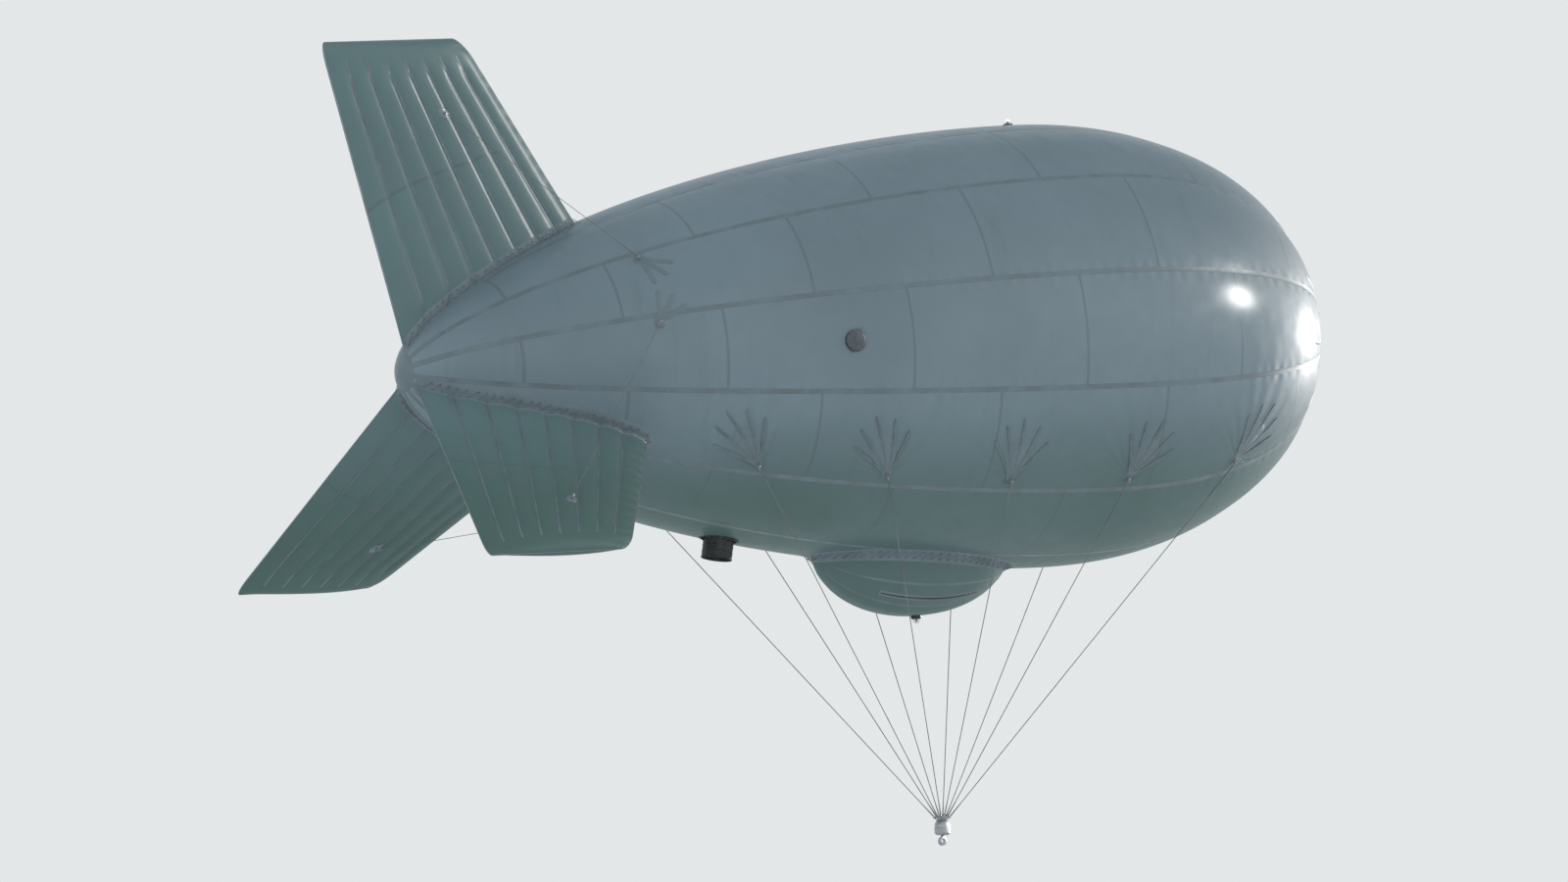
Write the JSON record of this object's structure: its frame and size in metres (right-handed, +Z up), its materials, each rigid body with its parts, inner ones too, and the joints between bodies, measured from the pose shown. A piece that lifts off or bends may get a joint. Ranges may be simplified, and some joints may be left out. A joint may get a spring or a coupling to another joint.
{
  "type": "tethered blimp balloon",
  "caption": "Helium-filled tethered blimp with three inflated tail fins in an inverted Y, a belly pod, nose mooring fitting and a bridle of lines to one swivel eye.",
  "frame": {"origin": "centre of the tether eye, where the tether's shackle holds the whole balloon from below", "axes": "+X forwards to the nose and level, with the hull itself riding 5 degrees nose-up, +Y to port, +Z up"},
  "size_m": [18.5414, 8.6296, 12.7621],
  "materials": {
    "hull_fabric": "coated silver-grey envelope cloth, satin",
    "fin_fabric": "coated silver-grey fin cloth, satin",
    "pod_fabric": "coated grey cloth, satin",
    "rope": "braided synthetic rope",
    "polished_aluminium": "spun and polished",
    "galvanised_steel": "galvanised",
    "dark_plastic": "moulded, matt",
    "lamp_glass": "clear dome"
  },
  "bodies": {
    "envelope": {"gore_01": "hull_fabric", "gore_02": "hull_fabric", "gore_03": "hull_fabric", "gore_04": "hull_fabric", "gore_05": "hull_fabric", "gore_06": "hull_fabric", "gore_07": "hull_fabric", "gore_08": "hull_fabric", "gore_09": "hull_fabric", "gore_10": "hull_fabric", "gore_11": "hull_fabric", "gore_12": "hull_fabric", "tail_cap": "hull_fabric", "fin_top": "fin_fabric", "fin_starboard": "fin_fabric", "fin_port": "fin_fabric", "belly_pod": "pod_fabric", "guy_top_port": "rope", "guy_top_starboard": "rope", "guy_starboard_upper": "rope", "guy_starboard_lower": "rope", "guy_port_upper": "rope", "guy_port_lower": "rope", "bridle_starboard_1": "rope", "bridle_starboard_2": "rope", "bridle_starboard_3": "rope", "bridle_starboard_4": "rope", "bridle_starboard_5": "rope", "bridle_port_1": "rope", "bridle_port_2": "rope", "bridle_port_3": "rope", "bridle_port_4": "rope", "bridle_port_5": "rope", "nose_cap": "polished_aluminium", "nose_clevis": "galvanised_steel", "bridle_hub": "galvanised_steel", "valve_ring": "dark_plastic", "blower_duct": "dark_plastic", "top_beacon_base": "dark_plastic", "pod_beacon_base": "dark_plastic", "top_beacon_lens": "lamp_glass", "pod_beacon_lens": "lamp_glass"},
    "mooring_ring": {"mooring_ring": "galvanised_steel"},
    "tether_eye": {"swivel_eye": "galvanised_steel"},
    "fan": {"blower_fan": "polished_aluminium"},
    "valve_lid": {"valve_lid": "dark_plastic"}
  },
  "joints": [
    {"name": "tether_swivel", "type": "hinge", "parent": "envelope", "child": "tether_eye", "pos_m": [0, 0, 0], "axis": [0, 0, 1], "continuous": true},
    {"name": "blower_fan_spin", "type": "hinge", "parent": "envelope", "child": "fan", "pos_m": [-4.22728, 0, 4.78628], "axis": [-0.1364, 0, -0.9907], "continuous": true},
    {"name": "mooring_ring_swing", "type": "hinge", "parent": "envelope", "child": "mooring_ring", "pos_m": [6.90692, 0, 8.70428], "axis": [0, 1, 0], "range_deg": [-110, 20]},
    {"name": "valve_lid_lift", "type": "slide", "parent": "envelope", "child": "valve_lid", "axis": [-0.1848, -0.9826, -0.0162], "range_m": [0, 0.03], "stiffness_N_per_m": 600, "springref_m": -0.02}
  ]
}
